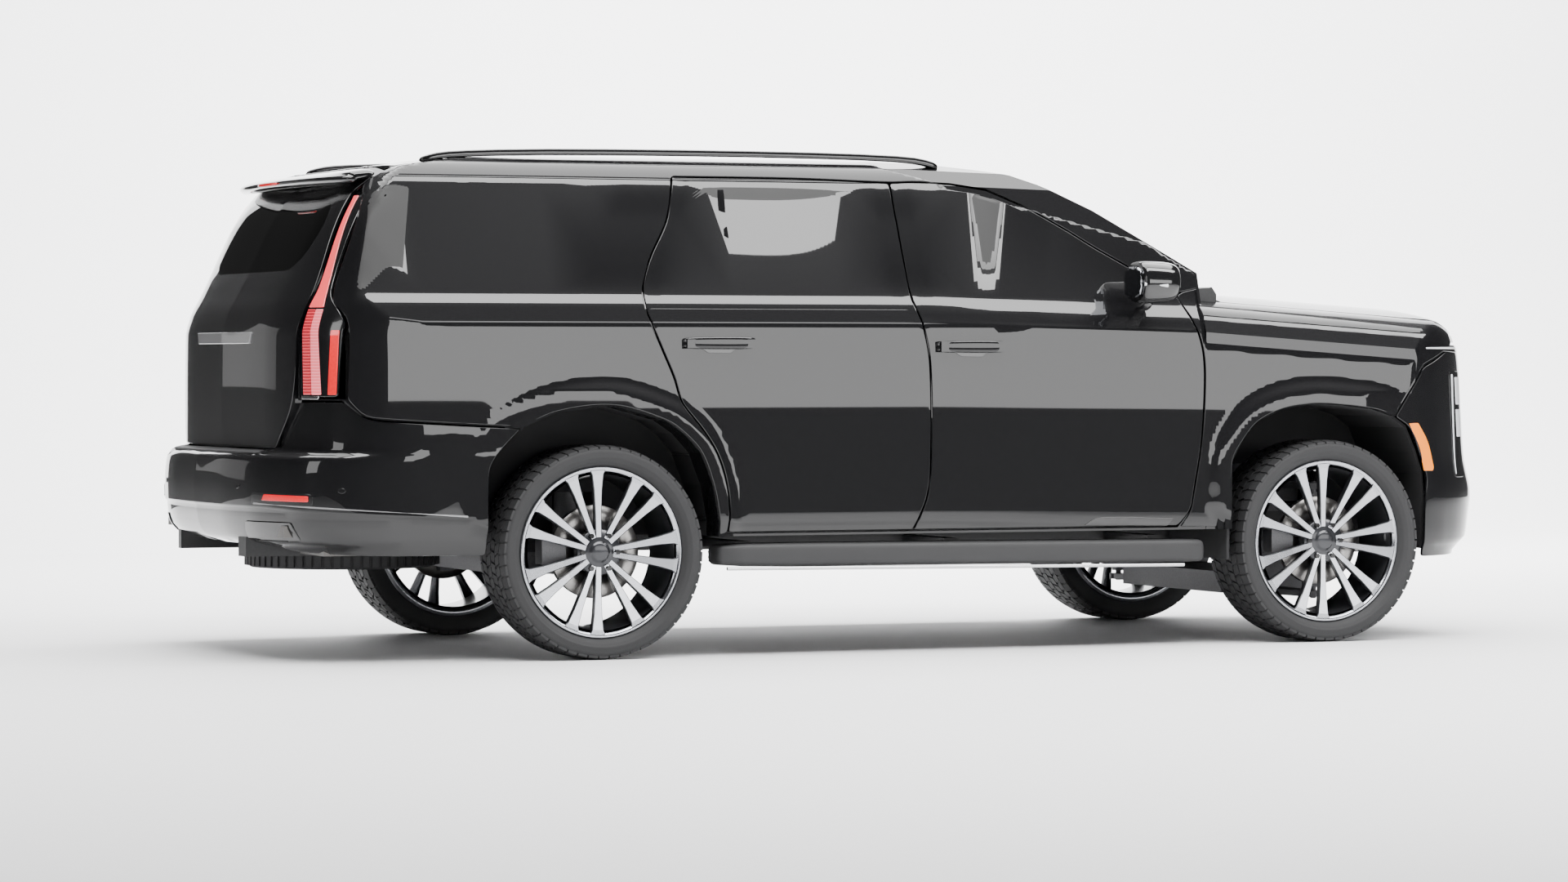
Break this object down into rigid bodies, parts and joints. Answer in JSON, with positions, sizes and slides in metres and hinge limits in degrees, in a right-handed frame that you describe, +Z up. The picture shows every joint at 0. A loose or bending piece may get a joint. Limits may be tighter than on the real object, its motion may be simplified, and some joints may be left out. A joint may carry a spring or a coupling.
{
  "type": "family suv",
  "caption": "full-size five-door family SUV, gloss black, with opening doors, hood and tailgate, steered front wheels and rolling wheels",
  "frame": {"origin": "bottom centre of the bounding box, on the ground", "axes": "+X forward, +Y to the left, +Z up"},
  "size_m": [5.28, 2.416, 1.922],
  "materials": {
    "paint": "gloss black paint",
    "trim_gloss": "gloss black",
    "trim_matte": "grained black",
    "glass_dark": "dark tint",
    "glass_clear": "light tint",
    "lamp_red": "red lens",
    "lamp_clear": "clear lens",
    "alloy": "dark machined",
    "tyre": "matte",
    "frame_steel": "satin black",
    "cast": "as cast",
    "steel": "brushed",
    "leather": "black",
    "cabin": "soft black"
  },
  "bodies": {
    "body": {"body_side_left": "paint", "body_side_right": "paint", "chassis_frame": "frame_steel", "dashboard": "cabin", "engine_block": "cast", "exhaust": "steel", "fixed_glass": "glass_dark", "floor_pan": "frame_steel", "front_bumper": "paint", "front_fenders": "paint", "front_seats": "leather", "front_suspension": "cast", "grille": "trim_gloss", "headlamps": "lamp_clear", "rear_bumper": "paint", "rear_seats": "leather", "rear_suspension": "cast", "roof_panel": "paint", "roof_rails": "trim_gloss", "side_steps": "trim_matte", "spare_wheel": "tyre", "tail_lamps": "lamp_red", "wheel_liners": "trim_matte"},
    "door_front_right": {"door_front_right": "paint", "glass_front_right": "glass_clear", "mirror_right": "trim_gloss"},
    "door_rear_right": {"door_rear_right": "paint", "glass_rear_right": "glass_dark"},
    "knuckle_right": {"knuckle_right": "cast"},
    "wheel_front_right": {"wheel_front_right": "alloy", "tyre_front_right": "tyre"},
    "wheel_rear_right": {"wheel_rear_right": "alloy", "tyre_rear_right": "tyre"},
    "door_front_left": {"door_front_left": "paint", "glass_front_left": "glass_clear", "mirror_left": "trim_gloss"},
    "door_rear_left": {"door_rear_left": "paint", "glass_rear_left": "glass_dark"},
    "knuckle_left": {"knuckle_left": "cast"},
    "wheel_front_left": {"wheel_front_left": "alloy", "tyre_front_left": "tyre"},
    "wheel_rear_left": {"wheel_rear_left": "alloy", "tyre_rear_left": "tyre"},
    "tailgate": {"tailgate": "paint", "tailgate_glass": "glass_dark", "spoiler": "trim_gloss"},
    "hood": {"hood": "paint"},
    "steering_wheel": {"steering_wheel": "leather"}
  },
  "joints": [
    {"name": "door_front_right_hinge", "type": "hinge", "parent": "body", "child": "door_front_right", "pos_m": [1.104, -0.998, 0.8], "axis": [0, 0, 1], "range_deg": [0, 68]},
    {"name": "door_rear_right_hinge", "type": "hinge", "parent": "body", "child": "door_rear_right", "pos_m": [-0.088, -0.998, 0.8], "axis": [0, 0, 1], "range_deg": [0, 70]},
    {"name": "steer_right", "type": "hinge", "parent": "body", "child": "knuckle_right", "pos_m": [1.7255, -0.87, 0.401], "axis": [0, 0, 1], "range_deg": [-34, 34]},
    {"name": "wheel_front_right_spin", "type": "hinge", "parent": "knuckle_right", "child": "wheel_front_right", "pos_m": [1.7255, -0.87, 0.401], "axis": [0, 1, 0], "continuous": true},
    {"name": "wheel_rear_right_spin", "type": "hinge", "parent": "body", "child": "wheel_rear_right", "pos_m": [-1.3455, -0.87, 0.401], "axis": [0, 1, 0], "continuous": true},
    {"name": "door_front_left_hinge", "type": "hinge", "parent": "body", "child": "door_front_left", "pos_m": [1.104, 0.998, 0.8], "axis": [0, 0, -1], "range_deg": [0, 68]},
    {"name": "door_rear_left_hinge", "type": "hinge", "parent": "body", "child": "door_rear_left", "pos_m": [-0.088, 0.998, 0.8], "axis": [0, 0, -1], "range_deg": [0, 70]},
    {"name": "steer_left", "type": "hinge", "parent": "body", "child": "knuckle_left", "pos_m": [1.7255, 0.87, 0.401], "axis": [0, 0, 1], "range_deg": [-34, 34]},
    {"name": "wheel_front_left_spin", "type": "hinge", "parent": "knuckle_left", "child": "wheel_front_left", "pos_m": [1.7255, 0.87, 0.401], "axis": [0, 1, 0], "continuous": true},
    {"name": "wheel_rear_left_spin", "type": "hinge", "parent": "body", "child": "wheel_rear_left", "pos_m": [-1.3455, 0.87, 0.401], "axis": [0, 1, 0], "continuous": true},
    {"name": "tailgate_hinge", "type": "hinge", "parent": "body", "child": "tailgate", "pos_m": [-2.093, 0, 1.83931], "axis": [0, 1, 0], "range_deg": [0, 85]},
    {"name": "hood_hinge", "type": "hinge", "parent": "body", "child": "hood", "pos_m": [1.25, 0, 1.36], "axis": [0, -1, 0], "range_deg": [0, 46]},
    {"name": "steering_wheel_turn", "type": "hinge", "parent": "body", "child": "steering_wheel", "pos_m": [0.66, 0.42, 1.165], "axis": [-0.9063, 0, 0.4226], "range_deg": [-476, 476]}
  ],
  "couplings": [
    {"joint": "steer_left", "follows": "steer_right", "ratio": 1},
    {"joint": "steering_wheel_turn", "follows": "steer_right", "ratio": 14}
  ]
}
